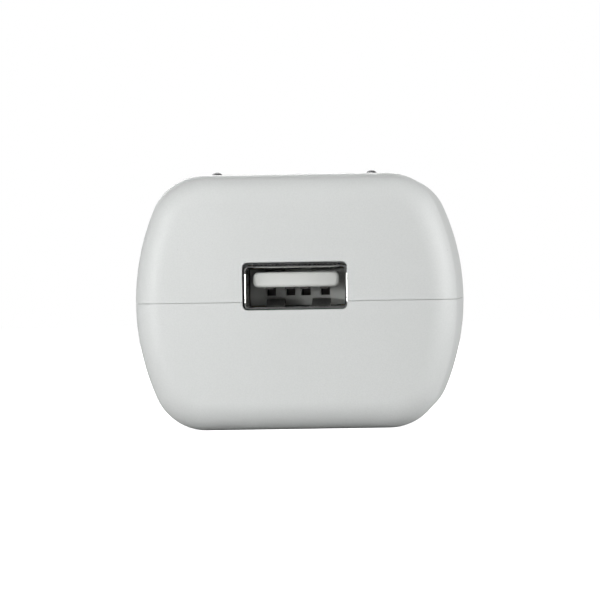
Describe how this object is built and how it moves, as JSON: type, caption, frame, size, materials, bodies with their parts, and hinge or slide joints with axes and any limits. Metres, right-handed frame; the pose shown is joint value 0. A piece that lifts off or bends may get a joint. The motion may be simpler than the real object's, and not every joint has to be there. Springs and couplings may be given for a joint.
{
  "type": "usb wall charger",
  "caption": "Rounded two-shell USB wall charger with a USB-A socket in one end and folding blades that swing out of its top face.",
  "frame": {"origin": "under the middle of the body, on the flat bottom face it rests on", "axes": "+X right seen from the USB end, -Y out of the USB end, +Z out of the face that meets the wall socket"},
  "size_m": [0.0416, 0.062, 0.0333],
  "materials": {
    "shell": "fine satin grain",
    "carrier": "satin",
    "blade": "nickel plate on brass",
    "spring": "bright strip",
    "usb_steel": "nickel plated steel",
    "insulator": "white moulding",
    "board": "solder mask",
    "ferrite": "ground ferrite",
    "bobbin": "moulded",
    "tape": "polyester tape",
    "sleeve": "shrink sleeve over an aluminium can",
    "ceramic": "dipped coating",
    "resistor": "lacquer",
    "epoxy": "moulded"
  },
  "bodies": {
    "housing": {"upper_shell": "shell", "lower_shell": "shell", "main_board": "board", "mains_contact_left": "spring", "mains_contact_right": "spring", "usb_shell": "usb_steel", "usb_insulator": "insulator", "usb_contact_1": "spring", "usb_contact_2": "spring", "usb_contact_3": "spring", "usb_contact_4": "spring", "transformer_core_front": "ferrite", "transformer_core_rear": "ferrite", "transformer_bobbin": "bobbin", "transformer_winding": "tape", "input_capacitor_left": "sleeve", "input_capacitor_right": "sleeve", "output_capacitor_left": "sleeve", "output_capacitor_right": "sleeve", "bridging_capacitor": "ceramic", "fusible_resistor": "resistor", "filter_choke": "ferrite", "bridge_rectifier": "epoxy", "controller_chip": "epoxy", "output_rectifier": "epoxy"},
    "plug": {"plug_carrier": "carrier", "blade_left": "blade", "blade_right": "blade"}
  },
  "joints": [
    {"name": "plug_fold", "type": "hinge", "parent": "housing", "child": "plug", "pos_m": [0, -0.0225, 0.029], "axis": [1, 0, 0], "range_deg": [0, 90]}
  ]
}
